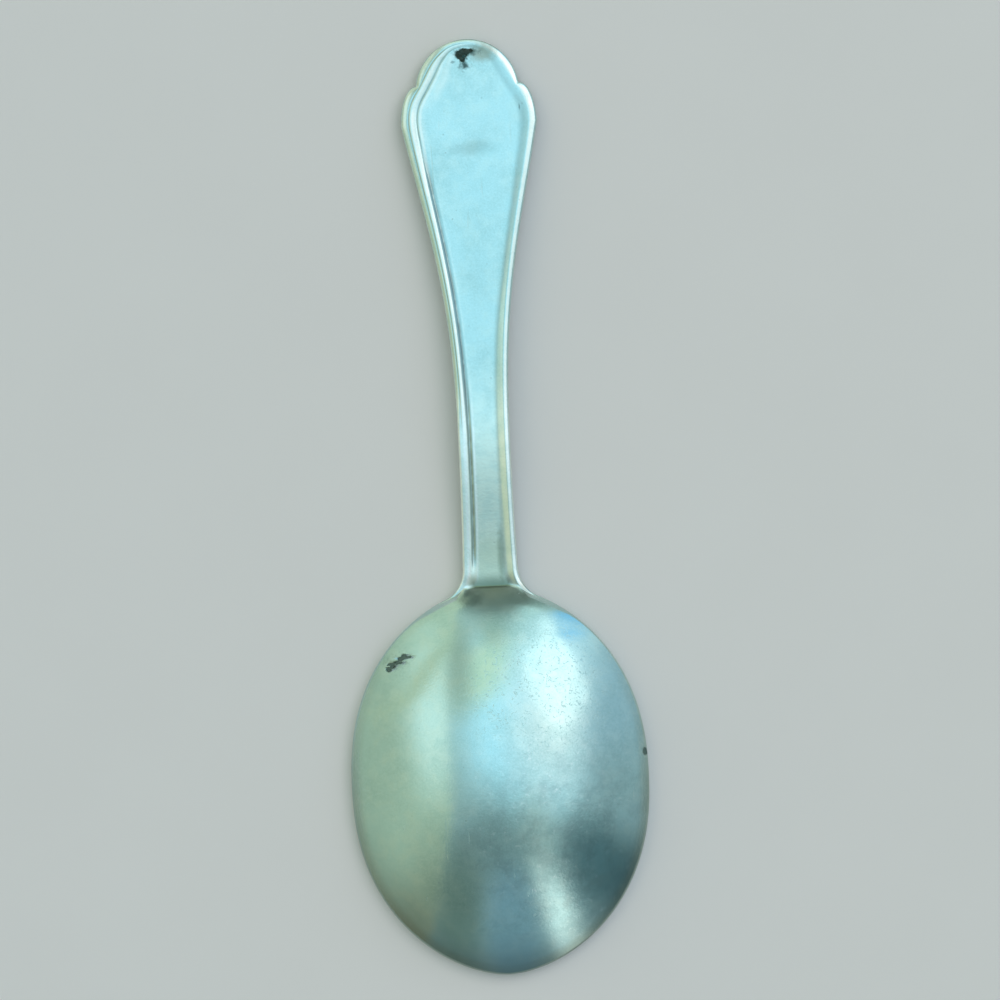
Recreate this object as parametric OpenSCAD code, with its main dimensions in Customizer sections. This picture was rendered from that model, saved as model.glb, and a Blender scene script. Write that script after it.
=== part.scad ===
// Silver-plated baby spoon, lying face down: a struck base-metal blank inside a thin skin of silver.
// +Y runs from the bowl's tip to the handle's tip, +Z is up, and the back of the spoon faces up.
// Distances called s are measured along the spoon from the handle's tip.

/* [Overall] */
// Length from the handle's tip to the bowl's tip
overall_len = 108; // [100:0.5:125]

/* [Bowl] */
// Length of the bowl
bowl_len = 44.8; // [38:0.1:50]
// Width of the bowl
bowl_w = 34.3; // [28:0.1:40]
// Height of the bowl's back above the plane of its rim
bowl_h = 8.6; // [6.5:0.1:12]
// Wall in the middle of the bowl
wall_t = 1.1; // [0.8:0.05:1.6]
// Height of the edge round the bowl's mouth
rim_t = 0.9; // [0.6:0.05:1.4]
// Width of the flat that is ground on the rim
rim_flat = 0.7; // [0.5:0.05:1.2]

/* [Handle outline] */
// Radius of the round crest at the handle's tip
crest_r = 6; // [5:0.1:6.8]
// Distance from the tip to the notch under the crest
notch_at = 5.2; // [4:0.1:5.8]
// Width across the shoulders
shoulder_w = 15.7; // [14.2:0.1:19]
// Distance from the tip to the widest place of the shoulders
shoulder_at = 9.8; // [8:0.1:13]
// Width of the shank at its narrowest
shank_w = 6; // [5:0.1:6.3]
// Distance from the bowl back to the narrowest place of the shank
shank_back = 15; // [10:0.5:20]
// Width of the neck where it starts to flare into the bowl
neck_w = 6.4; // [6.3:0.1:9]
// Radius of the flare between neck and bowl
neck_r = 3.8; // [2.5:0.1:6]

/* [Handle section] */
// Thickness at the handle's tip
tip_t = 1.5; // [1.2:0.05:2.2]
// Thickness of the neck
neck_t = 2; // [1.6:0.05:2.8]
// How far the handle arches off the table between its tip and the bowl
arch_h = 1.3; // [0.5:0.1:3]
// Distance from the bowl back to the highest place of that arch
arch_back = 19; // [12:0.5:25]
// Crown of the underside, from its edges to its middle
crown = 0.3; // [0.1:0.05:0.5]

/* [Border of the handle's back] */
// Width of the bevel along the edge
bevel_w = 0.4; // [0.25:0.05:0.6]
// Drop of that bevel
bevel_h = 0.5; // [0.2:0.05:0.7]
// Width of the outer bead
bead_w = 0.5; // [0.3:0.05:0.7]
// Width of the groove between the two beads
groove_w = 0.3; // [0.2:0.05:0.5]
// Depth of that groove
groove_h = 0.16; // [0.05:0.01:0.3]
// Width of the slope from the inner bead to the panel
slope_w = 0.45; // [0.3:0.05:0.7]
// Depth of the panel inside the border
panel_h = 0.3; // [0.1:0.05:0.6]

/* [Silver] */
// Thickness of the silver skin
plate_t = 0.03; // [0.02:0.005:0.08]
// Radius of the places where the silver is worn through
worn_r = 0.8; // [0.4:0.1:1.2]

/* [Hidden] */

// Exponents of the bowl's outline, along and across, and of the domes of its heel, back and hollow
bowl_fullness = 2.3;
bowl_point = 1.75;
heel_fullness = 0.74;
back_fullness = 0.78;
front_fullness = 0.66;
// Exponent of the handle's taper, and how full it is below the shoulders
taper_power = 3;
taper_fullness = 1.5;
// Rounding of the edges, where the thickness has room for it
edge_round = 0.2;
// How far the border, the neck's thickness and the arch run out into the bowl, and the hollow runs in
runout = 5;
rim_run = 8;
arch_run = 2;
hollow_run = 8;
// How far the dome of the back starts under the neck, and how soft that start is
heel = 1.2;
heel_soft = 0.04;
// Width of the flat that ends each tip, and how far the rows lean away from it
tip_flat = 0.5;
tip_lean = 2;

// Stations along the spoon, and points across it
crest_steps = 10;
shoulder_steps = 5;
taper_steps = 14;
neck_steps = 5;
flare_steps = 6;
bowl_steps = 30;
across_steps = 6;

bowl_start = overall_len - bowl_len;
bowl_mid = overall_len - bowl_len / 2;
shank_s = bowl_start - shank_back;
arch_s = bowl_start - arch_back;

function mix(a, b, t) = a + (b - a) * t;
function ramp(t) = let (u = max(0, min(1, t))) u * u * (3 - 2 * u);
function dome(t, fullness) = pow(max(0, 1 - t * t), fullness);
function unit(v) = v / norm(v);

// Outline of the bowl: its half width at s, its s at a half width, and its outward normal there
function bowl_half(s) =
    bowl_w / 2 * pow(max(0, 1 - pow(abs(s - bowl_mid) * 2 / bowl_len, bowl_fullness)), 1 / bowl_point);
function bowl_reach(w) = pow(1 - pow(2 * w / bowl_w, bowl_point), 1 / bowl_fullness);
function bowl_normal(w) = unit([
    -bowl_fullness * pow(bowl_reach(w), bowl_fullness - 1) * 2 / bowl_len,
    bowl_point * pow(2 * w / bowl_w, bowl_point - 1) * 2 / bowl_w]);

// The flare is an arc that touches the neck's side and the bowl's outline.
// flare_w is the half width where it meets the bowl, found by halving.
function flare_miss(w) = w + neck_r * bowl_normal(w)[1] - neck_w / 2 - neck_r;
function halve(lo, hi, times) = let (mid = (lo + hi) / 2)
    times == 0 ? mid : flare_miss(mid) < 0 ? halve(mid, hi, times - 1) : halve(lo, mid, times - 1);
flare_w = halve(neck_w / 4, neck_w / 2 + neck_r, 40);
flare_end = bowl_mid - bowl_len / 2 * bowl_reach(flare_w);
flare_s = flare_end + neck_r * bowl_normal(flare_w)[0];

// Half width of the spoon at s
crest_half = sqrt(crest_r * crest_r - pow(crest_r - notch_at, 2));
function shoulder_half(s) = mix(crest_half, shoulder_w / 2,
    sqrt(max(0, 1 - pow((shoulder_at - s) / (shoulder_at - notch_at), 2))));
function taper_half(s) = let (t = (s - shoulder_at) / (shank_s - shoulder_at))
    mix(shank_w / 2, shoulder_w / 2, pow(1 - t, taper_power) * (1 + taper_fullness * t));
function half(s) =
    s <= notch_at ? sqrt(max(0, crest_r * crest_r - pow(crest_r - s, 2))) :
    s <= shoulder_at ? shoulder_half(s) :
    s <= shank_s ? taper_half(s) :
    s <= flare_s ? mix(shank_w / 2, neck_w / 2, pow((s - shank_s) / (flare_s - shank_s), 2)) :
    s <= flare_end ? neck_w / 2 + neck_r - sqrt(neck_r * neck_r - pow(s - flare_s, 2)) :
    bowl_half(s);

// Heights along the spoon
function lift(s) = arch_h * (s < arch_s ? 1 - pow(1 - s / arch_s, 2) :
    1 - ramp((s - arch_s) / (arch_back + arch_run)));
function thickness(s) = s < flare_s ?
    mix(tip_t, neck_t, ramp(s / flare_s)) : mix(neck_t, rim_t, ramp((s - flare_s) / rim_run));
function border(s) = 1 - ramp((s - flare_s) / runout + 0.5);
function edge(s) = min(edge_round, thickness(s) / 5);
function bevel(s) = mix(edge(s), min(bevel_h, thickness(s) / 3), border(s));
function back_dome(s) = let (
    t = (s - bowl_mid) * 2 / (bowl_len + (s < bowl_mid ? heel : 0)), soft = heel_soft * ramp(-t))
    (bowl_h - thickness(s)) * pow((1 - t * t + norm([1 - t * t, soft])) / 2,
        s < bowl_mid ? heel_fullness : back_fullness);
function front_dome(s) = (bowl_h - wall_t) * dome((s - bowl_mid) / (bowl_len / 2 - rim_flat), front_fullness)
    * ramp((s - bowl_start) / hollow_run);

// Lines that follow the edge, each by its distance from the edge and its drop below the beads
inner_bead = bevel_w + bead_w + groove_w;
border_w = inner_bead + slope_w;
border_fit = min(1, 0.75 * shank_w / 2 / border_w);
border_lines = [
    [bevel_w, 0],
    [bevel_w + bead_w, 0],
    [bevel_w + bead_w + groove_w / 2, groove_h],
    [inner_bead, 0],
    [border_w, panel_h]];
rim_lines = [edge_round, rim_flat];

// Stations: points [s, half width] of the outline's right side, from tip to tip
crest_angle = acos(1 - notch_at / crest_r);
flare_angle = asin((flare_end - flare_s) / neck_r);
bowl_angle = acos(bowl_reach(flare_w));
stations = concat(
    [for (k = [1 : crest_steps]) crest_r * (1 - cos(crest_angle * k / crest_steps))],
    [for (k = [1 : shoulder_steps]) shoulder_at - (shoulder_at - notch_at) * cos(90 * k / shoulder_steps)],
    [for (k = [1 : taper_steps]) mix(shoulder_at, shank_s, k / taper_steps)],
    [for (k = [1 : neck_steps]) mix(shank_s, flare_s, k / neck_steps)],
    [for (k = [1 : flare_steps]) flare_s + neck_r * sin(flare_angle * k / flare_steps)],
    [for (k = [1 : bowl_steps - 1]) bowl_mid - bowl_len / 2 * cos(mix(bowl_angle, 180, k / bowl_steps))]);
outline = concat([[0, tip_flat / 2]], [for (s = stations) [s, half(s)]], [[overall_len, tip_flat / 2]]);
m = len(outline);
function outline_or_left(j) = j < 0 || j >= m ?
    let (p = outline[j < 0 ? 0 : m - 1]) [p[0], -p[1]] : outline[j];
function inward(j) = let (t = outline_or_left(j + 1) - outline_or_left(j - 1)) unit([t[1], -t[0]]);

// A row runs from station j square to the edge over the lines there, then on to the middle of the spoon.
// Its place in the middle leans away from the nearer tip, so that the first and last rows stay open.
function lean(s) = s + tip_lean * (1 - 2 * s / overall_len);
function to_middle(foot, k) = let (t = k / across_steps) [mix(foot[0], lean(foot[0]), t), foot[1] * (1 - t)];

// Half of a row on the back and on the front, as [x, s, z] from the edge to the middle
function back_point(p, drop) = [p[1], p[0],
    lift(p[0]) + thickness(p[0]) - drop * border(p[0])
        + back_dome(p[0]) * dome(p[1] / half(p[0]), back_fullness)];
function front_point(p, out) = [p[1], p[0],
    lift(p[0]) + crown * border(p[0]) * out * out + front_dome(p[0]) * dome(out, front_fullness)];
function back_half(j) = let (p = outline[j], q = inward(j), foot = p + q * border_w * border_fit) concat(
    [[p[1], p[0], lift(p[0]) + thickness(p[0]) - bevel(p[0])]],
    [for (line = border_lines) back_point(p + q * line[0] * border_fit, line[1])],
    [for (k = [1 : across_steps]) back_point(to_middle(foot, k), panel_h)]);
function front_half(j) = let (p = outline[j], q = inward(j), foot = p + q * rim_flat) concat(
    [front_point(p, 1) + [0, 0, edge(p[0])]],
    [for (d = rim_lines) front_point(p + q * d, 1)],
    [for (k = [1 : across_steps]) front_point(to_middle(foot, k), 1 - k / across_steps)]);

// A whole row, once round: back from left to right, then front from right to left
function flipped(points) = [for (k = [len(points) - 1 : -1 : 0]) points[k]];
function left_of(points) = [for (k = [0 : len(points) - 2]) [-points[k][0], points[k][1], points[k][2]]];
function along_y(s) = overall_len / 2 - s;
function ring(j) = let (back = back_half(j), front = front_half(j)) [
    for (p = concat(left_of(back), flipped(back), front, flipped(left_of(front))))
        [p[0], along_y(p[1]), p[2]]];
rings = [for (j = [0 : m - 1]) ring(j)];
n = len(rings[0]);
back_cells = 2 * len(back_half(0)) - 2;
function mirrored(i) = (back_cells - i + n) % n;

// The outer surface, and the same surface moved inwards by the thickness of the silver
function ring_point(j, i) = j < 0 ? rings[0][mirrored(i)] : j >= m ? rings[m - 1][mirrored(i)] : rings[j][i];
function outward(j, i) = unit(cross(
    rings[j][(i + 1) % n] - rings[j][(i + n - 1) % n], ring_point(j - 1, i) - ring_point(j + 1, i)));
outer_points = [for (r = rings) each r];
inner_points = [for (j = [0 : m - 1]) for (i = [0 : n - 1]) rings[j][i] - plate_t * outward(j, i)];

// Cells between two rows, as corner numbers. The first and last rows are closed from left to right.
function at(j, i) = j * n + i % n;
function cell(j, i) = [at(j, i), at(j, i + 1), at(j + 1, i + 1), at(j + 1, i)];
function halves(q) =
    [for (t = [[q[0], q[1], q[2]], [q[0], q[2], q[3]]]) if (t[0] != t[1] && t[1] != t[2] && t[2] != t[0]) t];
left_start = (back_cells + n) / 2;
function tip_cell(j, i) = [at(j, i), at(j, i + 1), at(j, mirrored((i + 1) % n)), at(j, mirrored(i % n))];
tip_skin = [for (i = [left_start : left_start + n / 2 - 1]) each concat(
    halves(flipped(tip_cell(0, i))), halves(tip_cell(m - 1, i)))];

// Places where the silver is gone, on the handle's tip and on the bowl. Each takes the nearest cell and the
// others within its radius.
bowl_y = along_y(bowl_mid);
worn_places = [
    [-0.6, along_y(2.2)],
    [-0.66 * bowl_w / 2, bowl_y + 0.65 * bowl_len / 2],
    [0.93 * bowl_w / 2, bowl_y + 0.12 * bowl_len / 2]];
function middle(j, i) = let (p = rings[j][i] + rings[j][i + 1] + rings[j + 1][i] + rings[j + 1][i + 1])
    [p[0] / 4, p[1] / 4];
nearest = [for (place = worn_places)
    min([for (j = [0 : m - 2]) for (i = [0 : back_cells - 1]) norm(middle(j, i) - place)])];
worn = [for (j = [0 : m - 2]) [for (i = [0 : n - 1]) i < back_cells &&
    min([for (k = [0 : len(worn_places) - 1])
        norm(middle(j, i) - worn_places[k]) - max(worn_r, nearest[k])]) <= 0]];
function is_worn(j, i) = j >= 0 && j < m - 1 && worn[j][(i + n) % n];

whole_skin = concat(
    [for (j = [0 : m - 2]) for (i = [0 : n - 1]) each halves(cell(j, i))], tip_skin);
holed_skin = concat(
    [for (j = [0 : m - 2]) for (i = [0 : n - 1]) if (!is_worn(j, i)) each halves(cell(j, i))], tip_skin);

// The edge of a worn place: a wall from the outer surface to the inner one
inside = len(outer_points);
function wall(a, b) = halves([a, b, b + inside, a + inside]);
function walls(j, i) = let (q = cell(j, i)) concat(
    is_worn(j - 1, i) ? [] : wall(q[0], q[1]),
    is_worn(j, i + 1) ? [] : wall(q[1], q[2]),
    is_worn(j + 1, i) ? [] : wall(q[2], q[3]),
    is_worn(j, i - 1) ? [] : wall(q[3], q[0]));
worn_edges = [for (j = [0 : m - 2]) for (i = [0 : n - 1]) if (is_worn(j, i)) each walls(j, i)];

// The struck blank: bowl, shank and handle in one piece of base metal
module base_metal_blank() {
    color("peru") polyhedron(inner_points, whole_skin);
}

// The silver deposited on the blank, with the worn places open
module silver_plate() {
    inner_skin = [for (f = holed_skin) [f[2] + inside, f[1] + inside, f[0] + inside]];
    color("lightsteelblue")
        polyhedron(concat(outer_points, inner_points), concat(holed_skin, inner_skin, worn_edges));
}

base_metal_blank();
silver_plate();
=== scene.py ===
# %% [markdown]
# # A worn silver-plated baby spoon
#
# A short spoon for feeding a baby lies face down, so that its back shows. The real one is struck:
# a strip of base metal is rolled thin, cut to the outline, pressed between two dies and then
# plated with silver all over. Years of use have taken the silver off in three small places.
#
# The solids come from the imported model, which is loaded first and stays as it is. The two pieces
# made here stand in for its two solids, with finer beads, softer edges and ragged worn places.

from math import acos, asin, cos, exp, hypot, pi, radians, sin, sqrt

import bmesh
import bpy
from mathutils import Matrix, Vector, noise


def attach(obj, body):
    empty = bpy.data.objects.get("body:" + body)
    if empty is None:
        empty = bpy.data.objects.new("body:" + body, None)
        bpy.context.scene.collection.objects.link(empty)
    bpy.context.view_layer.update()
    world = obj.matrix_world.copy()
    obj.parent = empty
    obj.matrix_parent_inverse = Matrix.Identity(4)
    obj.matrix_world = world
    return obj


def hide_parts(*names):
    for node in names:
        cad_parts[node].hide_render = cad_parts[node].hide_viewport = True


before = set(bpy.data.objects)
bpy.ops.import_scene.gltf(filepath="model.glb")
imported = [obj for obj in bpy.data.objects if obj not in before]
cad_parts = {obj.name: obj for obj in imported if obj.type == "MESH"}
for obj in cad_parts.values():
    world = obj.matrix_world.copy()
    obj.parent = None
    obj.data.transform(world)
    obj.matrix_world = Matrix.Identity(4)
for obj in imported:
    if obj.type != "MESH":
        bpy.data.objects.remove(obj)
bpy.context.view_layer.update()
print("packed nodes:", sorted(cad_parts))

# %% [markdown]
# ## The sizes
#
# A maker's drawing of a spoon is a plan with a few heights. All sizes are in millimetres here and
# turn into metres at the end. A place along the spoon is given by `s`, the distance from the tip
# of the handle, and the plan is the half width at each `s`.

# %% Sizes in millimetres
MM = 0.001
LENGTH = 108.0
BOWL_LEN, BOWL_W, BOWL_H = 44.8, 34.3, 8.6
OVAL_ALONG, OVAL_ACROSS = 2.3, 1.75
WALL, RIM, RIM_FLAT = 1.1, 0.9, 0.7
CREST_R, NOTCH_AT = 6.0, 5.2
SHOULDER_W, SHOULDER_AT = 15.7, 9.8
SHANK_W, SHANK_AT = 6.0, 48.2
NECK_W, NECK_R = 6.4, 3.8
TIP_T, NECK_T = 1.5, 2.0
ARCH_H, ARCH_BACK, ARCH_RUN = 1.3, 19.0, 2.0
CROWN, PLATE = 0.3, 0.03
BOWL_AT = LENGTH - BOWL_LEN
BOWL_MID = LENGTH - BOWL_LEN / 2
ARCH_AT = BOWL_AT - ARCH_BACK
print("bowl from", round(BOWL_AT, 1), "to", LENGTH, "mm, top of the arch at", round(ARCH_AT, 1), "mm")

# %% [markdown]
# ## The plan
#
# From the tip the outline is a round crest, a small notch on each side, a shoulder that swells
# to the widest place of the handle, a long hollow taper to the shank, a neck, a tight flare and
# the oval bowl. The flare is an arc that has to meet the bowl without a corner. No short formula
# gives that place, so a range of widths is halved until the two fit.

# %% Where the flare meets the bowl
def bowl_reach(w):
    """How far the bowl reaches from its middle, as a share, where it is 2 w wide."""
    return (1 - (2 * w / BOWL_W) ** OVAL_ACROSS) ** (1 / OVAL_ALONG)


def bowl_normal(w):
    along = OVAL_ALONG * bowl_reach(w) ** (OVAL_ALONG - 1) * 2 / BOWL_LEN
    across = OVAL_ACROSS * (2 * w / BOWL_W) ** (OVAL_ACROSS - 1) * 2 / BOWL_W
    return Vector((-along, across)).normalized()


narrow, wide = NECK_W / 4, NECK_W / 2 + NECK_R
for _ in range(40):
    FLARE_W = (narrow + wide) / 2
    if FLARE_W + NECK_R * bowl_normal(FLARE_W).y < NECK_W / 2 + NECK_R:
        narrow = FLARE_W
    else:
        wide = FLARE_W
FLARE_END = BOWL_MID - BOWL_LEN / 2 * bowl_reach(FLARE_W)
FLARE_AT = FLARE_END + NECK_R * bowl_normal(FLARE_W).x
print("flare from", round(FLARE_AT, 2), "to", round(FLARE_END, 2), "mm")

# %% [markdown]
# ### The outline
#
# The outline could be traced as one curve with handles. Here each stretch is a simple curve of its
# own, walked from the tip of the handle to the tip of the bowl, so that every size in the drawing
# can be measured on the plan and changed alone.

# %% The outline, from the tip of the handle to the tip of the bowl
CREST_HALF = sqrt(CREST_R ** 2 - (CREST_R - NOTCH_AT) ** 2)


def steps(count):
    return [i / count for i in range(count)]


def mix(a, b, t):
    return a + (b - a) * t


def taper_half(t):
    return mix(SHANK_W / 2, SHOULDER_W / 2, (1 - t) ** 3 * (1 + 1.5 * t))


def bowl_point(turn):
    along = BOWL_LEN / 2 * abs(sin(turn)) ** (2 / OVAL_ALONG)
    return (BOWL_MID + (along if turn > 0 else -along),
            BOWL_W / 2 * max(0.0, cos(turn)) ** (2 / OVAL_ACROSS))


crest_turn = acos((CREST_R - NOTCH_AT) / CREST_R)
flare_turn = asin((FLARE_END - FLARE_AT) / NECK_R)
bowl_turn = -asin(((BOWL_MID - FLARE_END) * 2 / BOWL_LEN) ** (OVAL_ALONG / 2))
plan = [(CREST_R * (1 - cos(crest_turn * t)), CREST_R * sin(crest_turn * t)) for t in steps(36)]
plan += [(mix(SHOULDER_AT, NOTCH_AT, cos(pi / 2 * t)),
          mix(CREST_HALF, SHOULDER_W / 2, sin(pi / 2 * t))) for t in steps(22)]
plan += [(mix(SHOULDER_AT, SHANK_AT, t), taper_half(t)) for t in steps(74)]
plan += [(mix(SHANK_AT, FLARE_AT, t), mix(SHANK_W / 2, NECK_W / 2, t * t)) for t in steps(26)]
plan += [(FLARE_AT + NECK_R * sin(flare_turn * t),
          NECK_W / 2 + NECK_R * (1 - cos(flare_turn * t))) for t in steps(24)]
plan += [bowl_point(mix(bowl_turn, pi / 2, t)) for t in steps(150)]
plan += [(LENGTH, 0.0)]
plan = [Vector(point) for point in plan]


def half(s):
    """Half the width at s, read from the outline."""
    low, high = 0, len(plan) - 1
    while high - low > 1:
        middle = (low + high) // 2
        low, high = (middle, high) if plan[middle].x <= s else (low, middle)
    a, b = plan[low], plan[high]
    return mix(a.y, b.y, (s - a.x) / max(b.x - a.x, 1e-6))


print("outline:", len(plan), "points,", round(2 * half(SHOULDER_AT), 1), "mm wide at the shoulders")

# %% [markdown]
# ## Ways in from the edge
#
# The border of the handle's back is a set of lines that run along the edge. They could be tubes
# laid on top, but a struck bead is part of the sheet, so the sheet itself is laid out in lines from
# the edge inwards. Each point of the outline gets a way in, averaged over 3 mm of the edge so that
# neighbours don't cross. The die cutter's lines don't turn into the small notches but pass them in
# one easy curve, so lines further in follow an averaged edge. The border is widest at the
# shoulders, narrows down the taper and closes up past the flare of the neck.

# %% Inward directions and the border's width along the outline
around = [Vector((p.x, -p.y)) for p in reversed(plan[1:])] + plan
around += [Vector((p.x, -p.y)) for p in reversed(plan[:-1])]
start = len(plan) - 1
travel = [0.0]
for a, b in zip(around, around[1:]):
    travel.append(travel[-1] + (b - a).length)
square = []
for i, p in enumerate(around):
    chord = around[min(i + 1, len(around) - 1)] - around[max(i - 1, 0)]
    square.append(Vector((chord.y, -chord.x)).normalized())


def averaged(values, i, reach=3.0):
    """A value at one point of the outline, averaged over a stretch of it."""
    total, sum_of_weights = Vector((0.0, 0.0)), 0.0
    for j in range(max(0, i - 40), min(len(around), i + 41)):
        weight = max(0.0, 1 - abs(travel[j] - travel[i]) / reach)
        weight *= travel[min(j + 1, len(around) - 1)] - travel[max(j - 1, 0)]
        total += values[j] * weight
        sum_of_weights += weight
    return total / sum_of_weights


def ramp(t):
    """0 below 0, 1 above 1, and a soft S between them."""
    t = min(max(t, 0.0), 1.0)
    return t * t * (3 - 2 * t)


def through(points, at):
    """A smooth curve through a list of points, read at one place."""
    if at <= points[0][0] or at >= points[-1][0]:
        return points[0][1] if at <= points[0][0] else points[-1][1]
    i = max(k for k in range(len(points) - 1) if points[k][0] <= at)

    def slope(k):
        a, b = points[max(k - 1, 0)], points[min(k + 1, len(points) - 1)]
        return (b[1] - a[1]) / (b[0] - a[0])

    (x0, y0), (x1, y1) = points[i], points[i + 1]
    gap = x1 - x0
    t = (at - x0) / gap
    return (y0 * (1 + 2 * t) * (1 - t) ** 2 + y1 * t * t * (3 - 2 * t)
            + gap * (slope(i) * t * (1 - t) ** 2 - slope(i + 1) * t * t * (1 - t)))


SPREAD = [(-2, 0.72), (0, 0.62), (2, 0.72), (4, 1.08), (6, 1.34), (8.6, 1.36), (13.9, 1.4),
          (17.2, 1.33), (22.5, 1.15), (30.7, 1.0), (41, 0.92), (53, 0.88)]
on_edge = range(start, start + len(plan))
inward = [averaged(square, i).normalized() for i in on_edge]
inward[0], inward[-1] = Vector((1.0, 0.0)), Vector((-1.0, 0.0))
easy = [averaged(around, i) for i in on_edge]
spread = [through(SPREAD, travel[i] - travel[start])
          * mix(1.0, 0.5, ramp((around[i].x - FLARE_AT - 0.5) / 5)) for i in on_edge]


def on_line(row, line, gap):
    """The place on a line of the border, next to one point of the outline."""
    ease = ramp(line / 0.7) * (1 - ramp((plan[row].x - FLARE_AT + 8) / 6))
    return plan[row].lerp(easy[row], ease) + inward[row] * line * gap


print("border lines are", round(spread[0], 2), "apart at the tip and up to", round(max(spread), 2))

# %% [markdown]
# ## The border
#
# The die gives the back its heights. A bump in the finish could fake them, but real slopes catch
# the light of the room from every side. A section across the border is a few points joined by a
# smooth curve: lines in from the edge, and heights over the bead. The strike was uneven. On the
# left the border is crisp: a fine line and two beads at the tip, one bead with a steep foot down
# the taper, a broad bead with a groove on the shank, and no groove at the neck. On the right it is
# a soft slope. At the very tip both end in one flat edge. The panel inside sinks from the
# shoulders downwards.

# %% Sections of the border
SIDE = [(0.0, -0.5), (0.04, -0.37), (0.1, -0.28), (0.2, -0.2), (0.32, -0.13), (0.44, -0.08),
        (0.52, -0.06), (0.57, -0.07), (0.64, 0.01), (0.72, 0.03)]
TWO_BEADS = SIDE + [
    (0.82, 0.02), (0.95, -0.01), (1.1, -0.045), (1.19, -0.075), (1.26, -0.12), (1.34, -0.085),
    (1.44, -0.07), (1.58, -0.085), (1.78, -0.115), (2.0, -0.135), (2.2, -0.135)]
ONE_BEAD = SIDE + [
    (0.82, 0.025), (0.94, 0.0), (1.05, -0.03), (1.13, -0.075), (1.22, -0.145), (1.31, -0.215),
    (1.4, -0.262), (1.52, -0.282), (1.67, -0.28), (1.79, -0.264), (1.92, -0.27), (2.2, -0.27)]
ROUND_SIDE = [(0.0, -0.45), (0.04, -0.28), (0.1, -0.15), (0.17, -0.085), (0.25, -0.06),
              (0.35, -0.055), (0.6, -0.06)]
BROAD_BEAD = ROUND_SIDE + [
    (1.02, -0.08), (1.18, -0.105), (1.28, -0.17), (1.4, -0.29), (1.5, -0.34), (1.6, -0.33),
    (1.69, -0.288), (1.79, -0.264), (1.9, -0.26), (2.05, -0.27), (2.2, -0.27)]
PLAIN_END = ROUND_SIDE + [
    (0.9, -0.085), (1.2, -0.13), (1.5, -0.19), (1.8, -0.24), (2.0, -0.262), (2.2, -0.27)]
SOFT_SIDE = [(0.0, -0.45), (0.03, -0.3), (0.07, -0.2), (0.12, -0.13), (0.2, -0.095),
             (0.3, -0.055), (0.4, -0.018)]
SOFT_TIP = SOFT_SIDE + [
    (0.48, 0.003), (0.56, 0.008), (0.7, 0.0), (0.9, -0.012), (1.1, -0.022), (1.3, -0.03),
    (1.6, -0.035), (2.2, -0.035)]
SOFT_HIGH = SOFT_SIDE + [
    (0.48, 0.008), (0.54, 0.018), (0.6, 0.012), (0.7, -0.01), (0.85, -0.045), (1.0, -0.077),
    (1.15, -0.104), (1.3, -0.123), (1.45, -0.133), (1.6, -0.135), (2.2, -0.135)]
SOFT_LOW = [
    (0.0, -0.45), (0.04, -0.3), (0.1, -0.19), (0.18, -0.125), (0.3, -0.085), (0.42, -0.05),
    (0.54, -0.02), (0.62, -0.01), (0.7, -0.02), (0.85, -0.06), (1.0, -0.105), (1.15, -0.15),
    (1.3, -0.188), (1.45, -0.22), (1.6, -0.245), (1.75, -0.262), (1.9, -0.27), (2.2, -0.27)]
TOP_EDGE = [
    (0.0, -0.3), (0.03, -0.17), (0.07, -0.1), (0.12, -0.065), (0.2, -0.047), (0.3, -0.031),
    (0.42, -0.015), (0.56, -0.003), (0.75, 0.0), (0.95, -0.01), (1.2, -0.025), (1.6, -0.035),
    (2.2, -0.035)]
SUNK_LEFT = [(0, -0.74), (5, -0.74), (9, -0.2), (12, 0.1), (17, 1.0), (60, 1.0)]
SUNK_RIGHT = [(0, 0.0), (11, 0.0), (20, 0.3), (26, 0.4), (34, 1.0), (60, 1.0)]
PANEL_DROP = 0.27
HALF_DROP = PANEL_DROP / 2


def relief(line, s, x):
    """Height of the border on one of its lines: crisp beads on the left, a soft slope on the right."""
    single = ramp((s - 10) / 7)
    left = mix(through(TWO_BEADS, line), through(ONE_BEAD, line), single)
    left += HALF_DROP * (single - through(SUNK_LEFT, s)) * ramp((line - 1.45) / 0.7)
    left = mix(left, through(BROAD_BEAD, line), ramp((s - 38) / 9))
    left = mix(left, through(PLAIN_END, line), ramp((s - 59) / 2.5))
    right = mix(through(SOFT_HIGH, line), through(SOFT_LOW, line), through(SUNK_RIGHT, s))
    right = mix(through(SOFT_TIP, line), right, ramp((s - 5) / 6))
    blend = 4 - 2 * ramp((s - 12) / 20)
    whole = mix(left, right, ramp((x + blend + 1.8 * (1 - ramp((s - 2) / 4))) / (2 * blend)))
    return mix(through(TOP_EDGE, line), whole, ramp((s - 0.3) / 2.0))


print("panel under the bead on the taper:", round(relief(0.82, 25, -4) - relief(2.2, 25, -4), 2), "mm")

# %% [markdown]
# ## The heights
#
# The handle arches: the spoon rests on the bowl's rim and on the tip of the handle, and stands off
# the table between. The bowl could be half a squashed ball, but that is too steep at the rim and has
# no heel. It is a dome over its oval instead. It starts at the heel with a crease across the
# neck, and near the rim it rises straight, because a steeper rim would show as a dark band from
# above. The front of the handle is a plain crown, and the bowl's hollow leaves a flat rim.

# %% Heights of the back and of the front
BACK_FULL, HEEL_FULL, NECK_FULL, HOLLOW_FULL = 0.78, 0.74, 0.35, 0.66
HEEL_AT = 62.0
HEEL_SOFT = 0.004
EDGE_R = 0.2
STRAIGHT, RIM_STEP = 0.26, 0.22
DENT_X, DENT_AT, DENT_DEEP = 0.9, 12.8, 0.09


def dome(t, fullness):
    """A section of the bowl: 1 in the middle, 0 at the rim, steep near the rim."""
    return max(0.0, 1 - t * t) ** fullness


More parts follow.
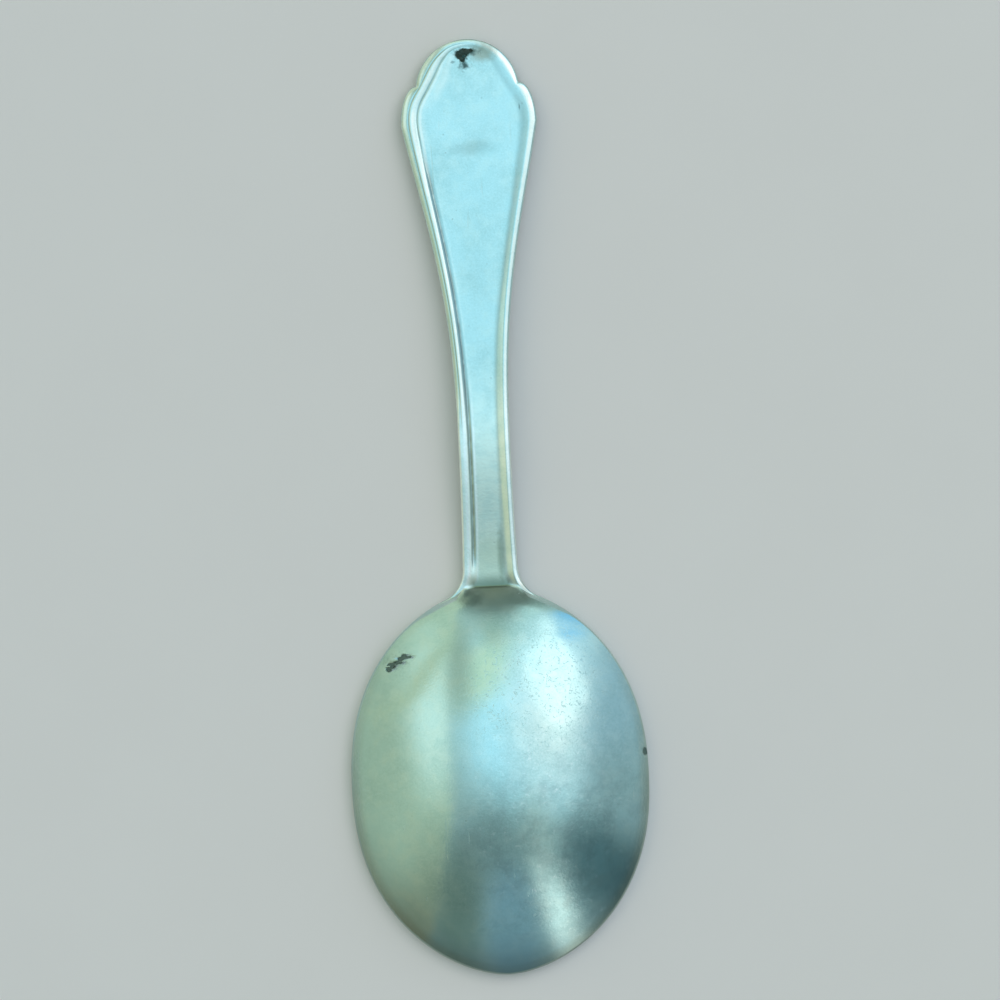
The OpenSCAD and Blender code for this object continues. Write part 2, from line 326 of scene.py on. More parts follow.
def lift(s):
    if s < ARCH_AT:
        return ARCH_H * (1 - (1 - s / ARCH_AT) ** 2)
    return ARCH_H * (1 - ramp((s - ARCH_AT) / (ARCH_BACK + ARCH_RUN)))


def thickness(s):
    if s < FLARE_AT:
        return mix(TIP_T, NECK_T, ramp(s / FLARE_AT))
    return mix(NECK_T, RIM, ramp((s - FLARE_AT - 2) / 12))


def border(s):
    """1 on the handle, 0 on the bowl, where the border has run out."""
    return 1 - ramp((s - FLARE_AT - 0.3) / 5)


def round_edge(d):
    return -EDGE_R * (1 - sqrt(1 - max(0.0, 1 - d / EDGE_R) ** 2))


def bowl_rise(s):
    """The dome along the spoon. The heel is a little steeper than the front."""
    fullness = HEEL_FULL if s < BOWL_MID else BACK_FULL
    t = (s - BOWL_MID) * 2 / BOWL_LEN
    soft = HEEL_SOFT * ramp(-t)
    return ((1 - t * t + hypot(1 - t * t, soft)) / 2) ** fullness


def eased(share, first):
    """The lowest quarter of the bowl rises straight, so that the rim isn't steeper than 45 degrees."""
    if share > STRAIGHT:
        return share
    return STRAIGHT * mix(first, 1.0, (share / STRAIGHT) ** (1 / BACK_FULL))


def back_height(x, s, away, line):
    sunk = PANEL_DROP * (1 - ramp((s - HEEL_AT) / 9))
    edge = mix(round_edge(away) - sunk, relief(line, s, x), border(s))
    inner = half(s) - 0.9 * (1 - ramp((s - HEEL_AT) / 5))
    fullness = mix(NECK_FULL, BACK_FULL, ramp((s - HEEL_AT - 1) / 6))
    share = bowl_rise(s) * dome(min(1.0, abs(x) / max(inner, 1e-4)), fullness)
    bowl = (BOWL_H - thickness(s)) * eased(share, RIM_STEP * ramp((s - HEEL_AT - 0.5) / 5))
    dent = DENT_DEEP * exp(-((x - DENT_X) ** 2 / 3.2 + (s - DENT_AT) ** 2 / 1.1))
    return lift(s) + thickness(s) + edge + bowl - dent


def front_height(x, s, away, line):
    bulge = abs(x) / max(half(s), 1e-4)
    fullness = 1.0 if s < BOWL_MID else HOLLOW_FULL
    hollow = (BOWL_H - WALL) * dome(min(1.0, (s - BOWL_MID) / (BOWL_LEN / 2 - RIM_FLAT)), fullness)
    hollow *= dome(min(1.0, abs(x) / max(half(s) - RIM_FLAT, 1e-4)), HOLLOW_FULL)
    hollow *= ramp((away - RIM_FLAT) / 0.9)
    return lift(s) + CROWN * border(s) * bulge ** 2 + hollow - round_edge(away)


print("panel height at mid handle:", round(back_height(0, 25, 5, 5), 2), "mm")

# %% [markdown]
# ## The struck shape
#
# A flat grid is laid over the outline and pushed to its heights, as the strip is in the dies. A
# box could be cut finer and finer and sculpted, but a grid that follows the edge puts its fine
# lines where the beads are, and wider ones over the panel and the bowl. Each point keeps its line
# from the edge, so that the wear can follow it later.

# %% Lay a grid over the outline
BACK_LINES = [0, .03, .07, .12, .18, .26, .34, .42, .48, .53, .58, .63, .69, .76, .83, .9, .97,
              1.04, 1.11, 1.17, 1.22, 1.26, 1.3, 1.35, 1.41, 1.48, 1.54, 1.6, 1.68, 1.76, 1.84,
              1.92, 2.0, 2.08, 2.2]
FRONT_LINES = [0, .04, .1, .2, .45, .7, .78, .9, 1.1, 1.5]
BACK_COLUMNS, FRONT_COLUMNS = 18, 9


def press(bm, lines, columns, height, gaps):
    """Lays a grid over the outline: border lines first, then columns to the middle line."""
    from_edge = bm.verts.layers.float["from_edge"]
    per_side = len(lines) - 1 + columns
    rows = len(plan) - 1
    made = bmesh.ops.create_grid(bm, x_segments=2 * per_side, y_segments=rows, size=0.5)
    for v in made["verts"]:
        column = round((v.co.x + 0.5) * 2 * per_side)
        row = round((0.5 - v.co.y) * rows)
        step = per_side - abs(column - per_side)
        edge, gap = plan[row], gaps[row]
        line = lines[min(step, len(lines) - 1)]
        place = on_line(row, line, gap)
        if step >= len(lines):
            foot = place
            middle = Vector((edge.x + 2 * (1 - 2 * edge.x / LENGTH), 0.0))
            place = foot.lerp(middle, ((step - len(lines) + 1) / columns) ** 0.9)
            line += (place - foot).length / gap
        x = place.y if column > per_side else -place.y
        v.co = (x, LENGTH / 2 - place.x, height(x, place.x, (place - edge).length, line))
        v[from_edge] = line
    return made["verts"]


for name, lines, columns in (("back", BACK_LINES, BACK_COLUMNS), ("front", FRONT_LINES, FRONT_COLUMNS)):
    print(name, "grid:", len(plan), "rows of", 2 * (len(lines) - 1 + columns) + 1, "points")

# %% [markdown]
# ### Back and front
#
# One grid makes the back and another the front. At both tips a grid's last row lies on the middle
# line, so its two halves are welded there. The open edges are then joined all round, which gives
# one closed shape with a round edge. The points of the back are marked, for the wear.

# %% Press two grids into one closed shape
struck = bmesh.new()
struck.verts.layers.float.new("from_edge")
on_back = struck.verts.layers.float.new("on_back")
back = press(struck, BACK_LINES, BACK_COLUMNS, back_height, spread)
front = press(struck, FRONT_LINES, FRONT_COLUMNS, front_height, [1.0] * len(plan))
for v in back:
    v[on_back] = 1.0
front_faces = {f for v in front for f in v.link_faces}
bmesh.ops.reverse_faces(struck, faces=list(front_faces))
bmesh.ops.remove_doubles(struck, verts=back, dist=1e-4)
bmesh.ops.remove_doubles(struck, verts=[v for v in front if v.is_valid], dist=1e-4)
bmesh.ops.bridge_loops(struck, edges=[e for e in struck.edges if e.is_boundary])
bmesh.ops.recalc_face_normals(struck, faces=struck.faces[:])
open_edges = sum(not e.is_manifold for e in struck.edges)
print("struck shape:", len(struck.faces), "faces,", open_edges, "open edges,",
      round(struck.calc_volume(), 1), "mm3")

# %% [markdown]
# ## Blank and silver
#
# The blank is the struck shape, a plate's thickness smaller. The silver is a skin over it. Where
# the silver is worn through, the skin has a ragged hole and the dark blank shows: a blot at the
# tip of the handle, a diagonal scar on the left of the bowl, and a nick in the right of the rim.
# The holes could be painted on one solid, but a cut skin has an edge with the plate's thickness.
# A hole is a few ovals, each with a middle and two half sizes, and the mesh is made finer around
# each of them before it is cut.

# %% Cut the worn places
WORN = [(-0.75, 1.8, 0.42, 0.42), (-0.2, 1.55, 0.6, 0.4), (0.4, 1.4, 0.35, 0.2),
        (-0.4, 2.3, 0.3, 0.3), (-12.25, 72.2, 0.3, 0.27), (-11.75, 71.85, 0.3, 0.22),
        (-11.3, 71.45, 0.28, 0.22), (-10.8, 71.05, 0.3, 0.24), (-10.4, 70.75, 0.3, 0.26),
        (16.82, 83.0, 0.22, 0.36)]
FACES_UP, FINE_AREA = 0.02, 0.004


def where(face):
    """The middle of a face: x, and s along the spoon."""
    middle = face.calc_center_median()
    return middle.x, LENGTH / 2 - middle.y


def distance(face, hole):
    x, s = where(face)
    return hypot(x - hole[0], s - hole[1])


def wear(x, s, hole):
    """Below 1 inside a worn place, with a ragged line round it."""
    cx, cs, wide, long = hole
    rough = noise.noise(Vector((x * 2.3, s * 2.3, cs)))
    rough += 0.8 * noise.noise(Vector((x * 7, s * 7, cs)))
    return hypot((x - cx) / wide, (s - cs) / long) + 0.6 * rough


skin_shape = struck.copy()
for hole in WORN:
    near = [f for f in skin_shape.faces if f.normal.z > FACES_UP and f.calc_area() > FINE_AREA
            and distance(f, hole) < max(hole[2:]) * 1.7]
    edges = {e for f in near for e in f.edges}
    bmesh.ops.subdivide_edges(skin_shape, edges=list(edges), cuts=3, use_grid_fill=True)
    gone = [f for f in skin_shape.faces if f.normal.z > FACES_UP and wear(*where(f), hole) < 1]
    print("worn place:", len(gone), "faces,", round(sum(f.calc_area() for f in gone), 2), "mm2")
    bmesh.ops.delete(skin_shape, geom=gone, context="FACES")

# %% [markdown]
# ### Two pieces
#
# The blank's points move in along their normals by the plate's thickness. The skin keeps its points
# and gets its thickness inwards, so that the two touch and the outside stays where it was. Each
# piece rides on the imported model's body and stands in for one solid.

# %% Make the two pieces
def make_piece(bm, name):
    """Turns a shape in millimetres into an object in metres, smooth shaded."""
    bmesh.ops.scale(bm, vec=(MM, MM, MM), verts=bm.verts)
    mesh = bpy.data.meshes.new(name)
    bm.to_mesh(mesh)
    bm.free()
    mesh.shade_smooth()
    piece = bpy.data.objects.new(name, mesh)
    bpy.context.scene.collection.objects.link(piece)
    return piece


struck.normal_update()
for v in struck.verts:
    v.co -= v.normal * PLATE
blank = make_piece(struck, "struck_blank")
skin = make_piece(skin_shape, "silver_skin")
plating = skin.modifiers.new("plate thickness", "SOLIDIFY")
plating.thickness = PLATE * MM
plating.offset = -1
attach(blank, "root")
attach(skin, "root")
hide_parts("base_metal_blank")
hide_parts("silver_plate")
print("pieces:", blank.name, len(blank.data.polygons), skin.name, len(skin.data.polygons))

# %% [markdown]
# ## Node helpers
#
# A material is a tree of nodes. These helpers add one node each and give back its output, so that
# a finish reads as a list of layers: a mask says where, and a colour is mixed in there.

# %% Helpers for the node trees
def new_material(name):
    material = bpy.data.materials.new(name)
    material.use_nodes = True
    return material, material.node_tree, material.node_tree.nodes["Principled BSDF"]


def node(tree, kind, inputs=None, **options):
    """Adds a node. An input is a number, or the output of another node."""
    made = tree.nodes.new("ShaderNode" + kind)
    for name, value in options.items():
        setattr(made, name, value)
    for name, value in (inputs or {}).items():
        if isinstance(value, bpy.types.NodeSocket):
            tree.links.new(value, made.inputs[name])
        else:
            made.inputs[name].default_value = value
    return made


def math(tree, what, a, b=0.0):
    return node(tree, "Math", {0: a, 1: b}, operation=what).outputs[0]


def times(tree, first, *others):
    """The product of masks and numbers."""
    for other in others:
        first = math(tree, "MULTIPLY", first, other)
    return first


def between(tree, value, low, high, to_low=0.0, to_high=1.0):
    """Maps low..high to to_low..to_high on a soft S."""
    return node(tree, "MapRange", {"Value": value, "From Min": low, "From Max": high,
                                   "To Min": to_low, "To Max": to_high},
                interpolation_type="SMOOTHSTEP").outputs[0]


def tint(tree, factor, a, b):
    """Mixes two colours. Each is red, green and blue, or the output of another node."""
    a, b = [(*colour, 1) if isinstance(colour, tuple) else colour for colour in (a, b)]
    return node(tree, "Mix", {0: factor, 6: a, 7: b}, data_type="RGBA").outputs[2]


def grain(tree, place, scale, detail=3.0, stretch=(1, 1, 1), turn=0.0, rough=0.55):
    """Noise of the given scale per metre, stretched and turned about the vertical."""
    laid = node(tree, "Mapping", {"Vector": place, "Scale": stretch,
                                  "Rotation": (0, 0, radians(turn))})
    return node(tree, "TexNoise", {"Vector": laid.outputs[0], "Scale": scale, "Detail": detail,
                                   "Roughness": rough}).outputs["Fac"]


# %% [markdown]
# ## Silver
#
# Old plate is satin, not bright. Its colour is a thin cloudy film of tarnish with a green-blue cast,
# with small mottles and a fine grain in it. A picture of tarnish could be wrapped round the spoon,
# but a noise of the right size, read from the piece's own coordinates in metres, needs no seams.

# %% The silver's film and grain
silver, tree, shader = new_material("worn silver plate")
place = node(tree, "TexCoord").outputs["Object"]
off_edge = node(tree, "Attribute", attribute_name="from_edge").outputs["Fac"]
back_only = node(tree, "Attribute", attribute_name="on_back").outputs["Fac"]
cloud = between(tree, grain(tree, place, 95, 6, rough=0.62), 0.35, 0.68)
mottle = grain(tree, place, 620, 4)
crumble = grain(tree, place, 1800, 4, rough=0.65)
fine = grain(tree, place, 4200, 2)
polish = grain(tree, place, 2600, 2, stretch=(1, 0.05, 1))

base = tint(tree, cloud, (0.545, 0.765, 0.745), (0.465, 0.665, 0.63))
base = tint(tree, between(tree, mottle, 0.42, 0.7, 0, 0.75), base, (0.60, 0.78, 0.73))
base = tint(tree, between(tree, fine, 0.35, 0.7, 0, 0.4), base, (0.62, 0.82, 0.80))
print("silver film:", len(tree.nodes), "nodes")

# %% [markdown]
# ### Where the wear is
#
# Wear belongs to places on the spoon, so the masks are made from the same measures as the shape:
# a soft oval at an `x` and `s` in millimetres, a stretch along the spoon, or a line at a distance
# from the edge. The wear placed with them stays on the back, the side that is seen.

# %% Masks for places on the back
place_parts = node(tree, "SeparateXYZ", {0: place})
across, along = place_parts.outputs["X"], place_parts.outputs["Y"]


def y_at(s):
    return (LENGTH / 2 - s) * MM


def rising(empty, full, low=0.0, high=1.0):
    """Rises from low to high between two places along the spoon."""
    return between(tree, along, y_at(empty), y_at(full), low, high)


def spot(x, s, wide, long, low, high, ragged=0.0):
    """1 inside an oval on the spoon's back, in millimetres, 0 outside it, with a ragged edge."""
    laid = node(tree, "Mapping", {"Vector": place, "Location": (x * MM, y_at(s), 0),
                                  "Scale": (wide * MM, long * MM, 1)}, vector_type="TEXTURE")
    away = node(tree, "VectorMath", {0: laid.outputs[0]}, operation="LENGTH").outputs["Value"]
    if ragged:
        rough = times(tree, math(tree, "SUBTRACT", crumble, 0.5), ragged)
        away = math(tree, "ADD", away, rough)
    return times(tree, between(tree, away, high, low), back_only)


on_right = between(tree, across, -1.5 * MM, 1.5 * MM)
on_left = math(tree, "SUBTRACT", 1.0, on_right)
on_handle = times(tree, rising(66, 61.5), back_only)
off_handle = math(tree, "SUBTRACT", back_only, on_handle)
at_tip = rising(9.5, 5)
above_taper = rising(18, 11)
near_tip = times(tree, above_taper, rising(1.2, 3))
low_taper = times(tree, math(tree, "SUBTRACT", 1.0, above_taper), rising(61.5, 59.5))
low_handle = times(tree, rising(36, 48), on_handle)
upper_left = times(tree, on_left, rising(47, 38))
low_left = times(tree, on_left, low_handle)


def along_line(line, width):
    """1 on a line that runs at a distance from the edge, on the handle only."""
    off_line = math(tree, "ABSOLUTE", math(tree, "SUBTRACT", off_edge, line))
    return times(tree, between(tree, off_line, width, 0.0), on_handle)


print("masks:", len(tree.nodes), "nodes so far")

# %% [markdown]
# ### Beads and grooves
#
# Hands and cloths rub the beads pale, and painted highlights along the beads add to it. Darker
# lines run in the groove and at the foot of the slope. The lower handle is painted lighter as a
# whole: painted light.

# %% Rubbed beads with painted highlights, and darker grooves
# Painted light: the lower handle is lightened as a whole.
base = tint(tree, times(tree, low_handle, between(tree, mottle, 0.3, 0.6, 0.6, 0.9)), base,
            (0.86, 0.95, 0.84))
# Pale rubbed silver on the beads, partly painted highlight along the bead tops and edges.
rub_and_highlight = between(tree, mottle, 0.3, 0.6, 0.6, 1.0)
rubbed_and_highlight_colour = tint(tree, low_handle, (0.80, 0.86, 0.78), (0.98, 1.0, 0.96))
for line, width, strong, side in ((0.2, 0.34, 0.75, on_left), (0.84, 0.42, 1.0, on_left),
                                  (1.46, 0.25, near_tip, on_left), (0.34, 0.4, 0.8, on_right),
                                  (0.95, 0.4, 0.25, times(tree, on_right, low_taper)),
                                  (2.05, 0.3, 0.7, low_left),
                                  (2.0, 0.9, 0.75, times(tree, on_left, at_tip))):
    base = tint(tree, times(tree, along_line(line, width), rub_and_highlight, side, strong), base, rubbed_and_highlight_colour)

# Darker lines along the groove and at the foot of the slope.
dark_line_mottle = between(tree, mottle, 0.3, 0.6, 0.5, 0.8)
cleaner_left = math(tree, "SUBTRACT", on_left, times(tree, at_tip, 0.5))
upper_right = math(tree, "SUBTRACT", on_right, low_handle)
for line, width, strong, side in ((0.57, 0.08, 0.8, upper_left), (1.26, 0.09, near_tip, cleaner_left),
                                  (1.42, 0.34, low_taper, upper_left),
                                  (1.6, 0.44, low_taper, low_left), (1.1, 0.5, 0.3, upper_right)):
    base = tint(tree, times(tree, along_line(line, width), dark_line_mottle, side, strong), base,
                (0.14, 0.22, 0.215))
print("border wear:", len(tree.nodes), "nodes so far")

# %% [markdown]
# ### Film on the bowl
#
# Painted shade darkens the lower bowl along its rim and towards its tip, and a brownish painted
# reflection lies on the rim. The bowl also has patches of tarnish and pale flecks where the film is
# rubbed off. Fine broken scratches gather at the upper right of the bowl, and small pits are strewn
# over the whole spoon.

# %% Scratches, pits and tarnish
most_scratched = spot(5.5, 75.5, 8, 7, 0.3, 1.6)
worms = math(tree, "ABSOLUTE", math(tree, "SUBTRACT", grain(tree, place, 980, 3), 0.5))
broken = between(tree, grain(tree, place, 2400, 1), 0.47, 0.58)
worms = times(tree, between(tree, worms, 0.02, 0.004), broken,
              between(tree, most_scratched, 0, 1, 0.1, 0.75))
cells = node(tree, "TexVoronoi", {"Vector": place, "Scale": 820.0, "Randomness": 1.0})
some = between(tree, grain(tree, place, 300, 2), 0.5, 0.64)
pits = times(tree, between(tree, cells.outputs["Distance"], 0.12, 0.04), some)
marks = math(tree, "MAXIMUM", worms, times(tree, pits, 0.6))

# Painted shade: the lower bowl darkens towards its rim and its tip.
painted_shade = times(tree, between(tree, off_edge, 12, 0, 0, 0.5), off_handle, rising(82, 100, 0.1, 1.0))
tarnish = between(tree, grain(tree, place, 380, 6, rough=0.7), 0.4, 0.66, 0, 0.32)
tarnish = times(tree, tarnish, off_handle, spot(7, 93, 14, 13, 0.4, 1.2))
flecks = between(tree, grain(tree, place, 1500, 4, rough=0.7), 0.58, 0.7, 0, 0.5)
flecks = times(tree, flecks, off_handle, spot(6, 92, 15, 14, 0.5, 1.2))
# Painted reflection: a brownish dark band on the bowl's rim stands in for a dark table mirrored there.
painted_rim_reflection = times(tree, between(tree, off_edge, 3.6, 0.3, 0, 0.5), off_handle, rising(70, 90, 0.2, 1.0))
for mask, colour in ((painted_shade, (0.20, 0.26, 0.25)), (tarnish, (0.27, 0.36, 0.365)),
                     (flecks, (0.78, 0.90, 0.87)), (painted_rim_reflection, (0.25, 0.265, 0.19)),
                     (times(tree, marks, 0.5), (0.20, 0.29, 0.29))):
    base = tint(tree, mask, base, colour)
print("bowl wear:", len(tree.nodes), "nodes so far")

# %% [markdown]
# ### Film on the neck, painted shade at the heel, and stains at the tip
#
# A cloth doesn't reach into the crease of the heel, so a yellowish film lies on the neck, with a dark
# streak beside it. The crease and the heel's dome around it are painted dark: painted shade, which
# also hides a bright line where the smooth shading turns over the crease. The handle's tip has a grey
# film beside the blot, and the bowl's tip is darkened with painted shade. Over the small dent in the
# panel lies a painted shadow of the dent. Around the worn places the silver has turned dark.

# %% Neck, heel, tip and the rings round the worn places
STAINS = [(0.1, 1.6, 1.3, 0.7, 0.5), (1.05, 1.5, 0.65, 0.4, 0.6), (-1.5, 2.6, 0.3, 0.18, 0.5),
          (-0.2, 2.85, 0.65, 0.8, 0.95), (5.9, 8.0, 0.12, 0.32, 0.8),
          (-11.3, 71.4, 1.3, 0.8, 0.3)]
# Colour of the painted shade at the heel.
HEEL_SHADE = (0.14, 0.205, 0.18)


def film(x, s, wide, long, low, high, ragged, strong):
    return times(tree, spot(x, s, wide, long, low, high, ragged), strong)


neck_film = times(tree, spot(0.2, 60.8, 3.2, 4.5, 0.3, 1.2, 0.4),
                  between(tree, off_edge, 1.5, 2.3, 0, 0.6))
# Painted shade: a dark line along the crease of the heel, which also hides a bright line of the smooth
# shading there.
crease_shade = times(tree, rising(61.3, 63.3, 0, 0.95), rising(63.5, 63.15), back_only,
                  between(tree, math(tree, "ABSOLUTE", across), 2.8 * MM, 1.9 * MM))
for mask, colour in ((neck_film, (0.66, 0.72, 0.54)),
                     (film(1.35, 59.6, 0.5, 3.6, 0.2, 1.3, 0.7, 0.6), (0.24, 0.30, 0.22)),
                     # Painted shade in the crease of the heel and over the bright flanks of its dome.
                     (film(0.4, 64.4, 2.8, 2.2, 0.35, 1.15, 0.6, 0.1), HEEL_SHADE),
                     (film(-2.6, 64.4, 1.9, 1.2, 0.35, 1.15, 0.6, 0.5), HEEL_SHADE),
                     (film(3.1, 64.6, 1.8, 1.2, 0.35, 1.15, 0.6, 0.15), HEEL_SHADE),
                     (crease_shade, (0.15, 0.20, 0.14)),
                     # Painted shade over a highlight at the corner of the heel's dome.
                     (film(3.9, 63.6, 1.0, 1.3, 0.2, 1.2, 0.0, 0.5), (0.35, 0.38, 0.32)),
                     (film(1.9, 1.6, 1.9, 1.2, 0.3, 1.3, 0.8, 0.75), (0.33, 0.33, 0.24)),
                     # Painted shade: the bowl's tip darker.
                     (film(0, 107, 7, 4.5, 0.2, 1.2, 0.0, 0.45), (0.20, 0.26, 0.25)),
                     # Painted shadow of the small dent in the panel.
                     (film(0.1, 12.7, 2.6, 0.9, 0.1, 1.4, 1.2, 0.4), (0.27, 0.40, 0.36))):
    base = tint(tree, mask, base, colour)
for x, s, wide, long, strong in STAINS:
    base = tint(tree, film(x, s, wide, long, 0.0, 1.3, 3.0, strong), base, (0.05, 0.085, 0.075))
for x, s, wide, long in WORN:
    ring = (0.03, 0.06, 0.05) if s < SHOULDER_AT else (0.09, 0.135, 0.115)
    base = tint(tree, spot(x, s, wide, long, 0.7, 1.6, 1.2), base, ring)
print("stains:", len(STAINS), "and", len(WORN), "rings")

# %% [markdown]
# ### Shine
#
# The silver's roughness varies with the film, the lengthwise marks from polishing and the hairline
# scratches from washing and drying. The same layers give a bump of a few hundredths of a millimetre.

# %% Roughness and bump of the silver
hair = between(tree, grain(tree, place, 1500, 2, stretch=(1, 0.06, 1), turn=-52), 0.68, 0.76)
satin = math(tree, "ADD", between(tree, cloud, 0, 1, 0.12, 0.17), times(tree, polish, 0.06))
satin = math(tree, "ADD", satin, times(tree, math(tree, "MAXIMUM", hair, marks), 0.12))
dips = math(tree, "ADD", times(tree, hair, -0.25), times(tree, marks, -1.0))
waves = math(tree, "ADD", times(tree, fine, 0.5), times(tree, mottle, 0.3))
bump = node(tree, "Bump", {"Height": math(tree, "ADD", dips, waves), "Strength": 0.3,
                           "Distance": 0.03 * MM})
tree.links.new(base, shader.inputs["Base Color"])
tree.links.new(satin, shader.inputs["Roughness"])
tree.links.new(bump.outputs["Normal"], shader.inputs["Normal"])
shader.inputs["Metallic"].default_value = 1.0
skin.data.materials.append(silver)
print("silver:", len(tree.nodes), "nodes")

# %% [markdown]
# ## Base metal
#
# Where it lies bare the blank has gone black-green and brown with a rough crust, and a little
# metal still shines between the patches. On the bowl it is paler than at the handle's tip.

# %% The base metal material
base_metal, tree, shader = new_material("darkened base metal")
place = node(tree, "TexCoord").outputs["Object"]
crust = between(tree, grain(tree, place, 1500, 5, rough=0.7), 0.36, 0.64)
patch = between(tree, grain(tree, place, 700, 3), 0.45, 0.7)
dark = tint(tree, crust, (0.010, 0.030, 0.024), (0.035, 0.07, 0.058))
dark = tint(tree, patch, dark, (0.04, 0.05, 0.034))
along = node(tree, "SeparateXYZ", {0: place}).outputs["Y"]
dark = tint(tree, between(tree, along, 0, -10 * MM, 0, 0.8), dark, (0.15, 0.215, 0.185))
tree.links.new(dark, shader.inputs["Base Color"])
tree.links.new(between(tree, crust, 0, 1, 0.75, 0.5), shader.inputs["Roughness"])
shader.inputs["Metallic"].default_value = 0.35
bump = node(tree, "Bump", {"Height": crust, "Strength": 0.6, "Distance": 0.08 * MM})
tree.links.new(bump.outputs["Normal"], shader.inputs["Normal"])
blank.data.materials.append(base_metal)
print("base metal:", len(tree.nodes), "nodes")

# %% [markdown]
# ## Table and lamp
#
# The table is a plain pale plane, a hair under the rim so that the two don't share a face. A small
# soft lamp at the upper right gives the spoon a short shadow.

# %% Floor and lamp
bm = bmesh.new()
bmesh.ops.create_grid(bm, x_segments=2, y_segments=2, size=1.5)
floor_mesh = bpy.data.meshes.new("floor")
bm.to_mesh(floor_mesh)
bm.free()
floor = bpy.data.objects.new("floor", floor_mesh)
bpy.context.scene.collection.objects.link(floor)
floor.location.z = -0.03 * MM
pale, tree, shader = new_material("pale floor")
speck = grain(tree, node(tree, "TexCoord").outputs["Object"], 60, 4)
tree.links.new(tint(tree, speck, (0.90, 0.79, 0.765), (0.93, 0.82, 0.795)),
               shader.inputs["Base Color"])
shader.inputs["Roughness"].default_value = 0.7
floor.data.materials.append(pale)

lamp_data = bpy.data.lights.new("soft lamp", "AREA")
lamp_data.shape = "SQUARE"
lamp_data.size = 0.3
lamp_data.energy = 0.12
lamp_data.color = (1.0, 0.97, 0.93)
lamp = bpy.data.objects.new("soft lamp", lamp_data)
bpy.context.scene.collection.objects.link(lamp)
lamp.location = (0.33, 0.26, 0.42)
lamp.rotation_euler = Vector(lamp.location).to_track_quat("Z", "Y").to_euler()
print("lamp", round(lamp.location.length, 2), "m from the spoon")

# %% [markdown]
# ## The room
#
# A metal shows what is around it, so the room is part of its look. A picture of a room could
# stand in for it, but soft patches of light can be placed one by one. Each is an oval on the sky
# over the table: `x` to the right and `y` away from the viewer, as a mirror ball shows them from
# above. Overhead and to the upper right it is bright, a pale wall fills the left and ends in
# straight edges, and the viewer's side is darker, with a slanting window.

# %% Patches of light: x, y, half width, half height, softness, turn in degrees, colour
PATCHES = [
    (0.34, 0.28, 0.67, 0.43, 0.45, 0, (0.71, 1.11, 1.32)),
    (0.08, 1.04, 0.5, 0.26, 0.42, 0, (0.20, 0.245, 0.215)),
    (0.3, -0.35, 0.12, 0.25, 0.7, 0, (0.54, 0.64, 0.62)),
    (-0.1, 0.53, 0.3, 0.1, 0.8, 21, (0.80, 0.95, 0.74)),
    (-0.34, 0.55, 0.12, 0.2, 0.8, 0, (0.45, 0.53, 0.44)),
    (0.52, 0.28, 0.36, 0.31, 0.8, 0, (1.10, 1.16, 1.22)),
    (0.0, 0.71, 0.12, 0.07, 0.8, 0, (0.46, 0.58, 0.50)),
    (0.33, 0.8, 0.11, 0.08, 0.8, 0, (0.74, 0.96, 0.95)),
    (0.7, 0.73, 0.13, 0.11, 0.5, 0, (0.38, 0.81, 1.24)),
    (0.95, 0.2, 0.22, 0.36, 0.6, 0, (0.42, 0.57, 0.68)),
    (0.92, -0.1, 0.18, 0.17, 0.7, 0, (0.36, 0.47, 0.51)),
    (-0.1, -0.41, 0.42, 0.2, 0.6, 0, (0.23, 0.31, 0.32)),
    (-0.42, -0.68, 0.22, 0.3, 0.6, 0, (0.17, 0.225, 0.20)),
    (0.76, -0.45, 0.26, 0.23, 0.6, 0, (0.095, 0.165, 0.19)),
    (0.06, -0.82, 0.24, 0.32, 0.35, 0, (0.23, 0.35, 0.42)),
    (0.46, -0.74, 0.1, 0.27, 0.8, 27, (1.14, 1.24, 1.22))]
WALL_PATCHES = [
    (-0.58, 0.27, 0.2, 0.28, 0.8, 0, (0.90, 1.07, 1.01)),
    (-0.97, 0.1, 0.2, 0.6, 0.8, 0, (0.49, 0.56, 0.44)),
    (-0.65, 0.475, 0.3, 0.035, 0.8, 33, (0.58, 0.62, 0.43))]
print("room:", len(PATCHES), "patches, and", len(WALL_PATCHES), "on the wall")

# %% [markdown]
# ### The sky
#
# The room starts as a soft change from the viewer's side to the far side. The patches go over it
# one after another, so a later patch covers an earlier one. The wall is mixed in last, between
# nearly sharp edges, because a real wall's edge shows as a line in the metal.

# %% Room light
world = bpy.data.worlds.new("studio")
bpy.context.scene.world = world
world.use_nodes = True
tree = world.node_tree
sky = tree.nodes["Background"]
look = node(tree, "TexCoord").outputs["Generated"]


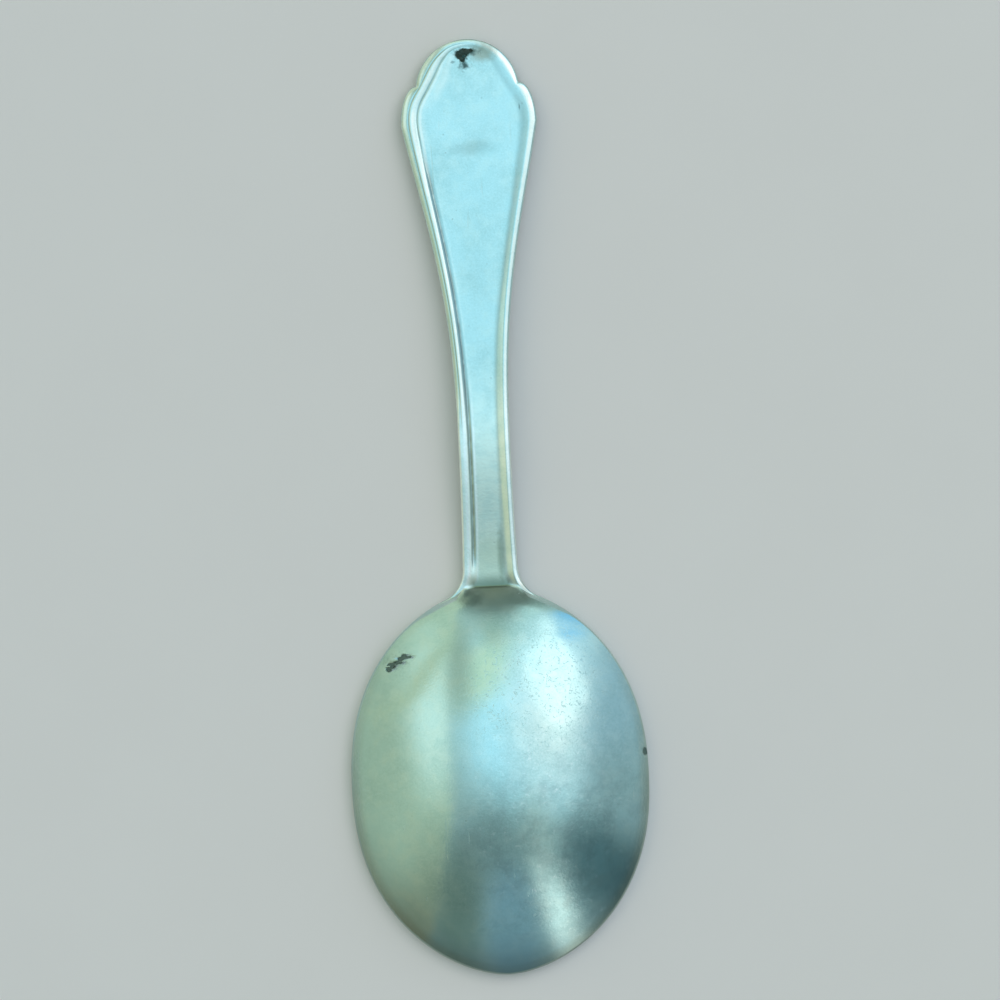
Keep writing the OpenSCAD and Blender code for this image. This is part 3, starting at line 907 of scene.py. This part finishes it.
def oval(x, y, wide, tall, soft, turn):
    """1 inside an oval of the sky, 0 outside it, with a soft edge."""
    laid = node(tree, "Mapping", {"Vector": look, "Location": (x, y, 0),
                                  "Scale": (wide, tall, 1e4), "Rotation": (0, 0, radians(turn))},
                vector_type="TEXTURE")
    away = node(tree, "VectorMath", {0: laid.outputs[0]}, operation="LENGTH").outputs["Value"]
    return between(tree, away, 1 + soft, 1 - soft)


def beyond(x, y, start, soft):
    """1 where the sky lies beyond a straight edge, in the direction (x, y)."""
    part = node(tree, "VectorMath", {0: look, 1: (x, y, 0)}, operation="DOT_PRODUCT")
    return between(tree, part.outputs["Value"], start - soft, start + soft)


room = tint(tree, beyond(0, 1, 0.0, 0.9), (0.30, 0.40, 0.43), (0.56, 0.71, 0.68))
for *shape, colour in PATCHES:
    room = tint(tree, oval(*shape), room, colour)
pale_wall = tint(tree, beyond(0, 1, -0.3, 0.5), (0.29, 0.30, 0.22), (0.63, 0.735, 0.58))
for *shape, colour in WALL_PATCHES:
    pale_wall = tint(tree, oval(*shape), pale_wall, colour)
lower_edge = math(tree, "MINIMUM", beyond(-1, 0, 0.45, 0.015), beyond(-0.965, 0.26, 0.39, 0.02))
upper_edge = math(tree, "MINIMUM", beyond(-0.88, 0.47, 0.635, 0.03), beyond(0, 1, 0.5, 0.02))
room = tint(tree, math(tree, "MAXIMUM", lower_edge, upper_edge), room, pale_wall)
tree.links.new(room, sky.inputs["Color"])
sky.inputs["Strength"].default_value = 1.0
print("room:", len(tree.nodes), "nodes")

# %% [markdown]
# ## Camera
#
# The spoon is seen from straight above, turned a little so that the handle leans left. The frame
# is 115.4 mm wide at the table, and the camera stands far off, so that the bowl doesn't look bigger
# than it is.

# %% Camera
FRAME_W, SENSOR_W, CAMERA_AWAY, LEAN = 115.36, 36, 1200, 2.75
camera_data = bpy.data.cameras.new("camera")
camera_data.sensor_width = SENSOR_W
camera_data.lens = SENSOR_W * CAMERA_AWAY / FRAME_W
camera_data.clip_start = 0.01
camera = bpy.data.objects.new("camera", camera_data)
bpy.context.scene.collection.objects.link(camera)
camera.location = (1.5065 * MM, 0.7072 * MM, (CAMERA_AWAY + 1) * MM)
camera.rotation_euler = (0, 0, radians(-LEAN))
bpy.context.scene.camera = camera
bpy.context.scene.view_settings.view_transform = "Standard"
print("lens:", round(camera_data.lens, 1), "mm")
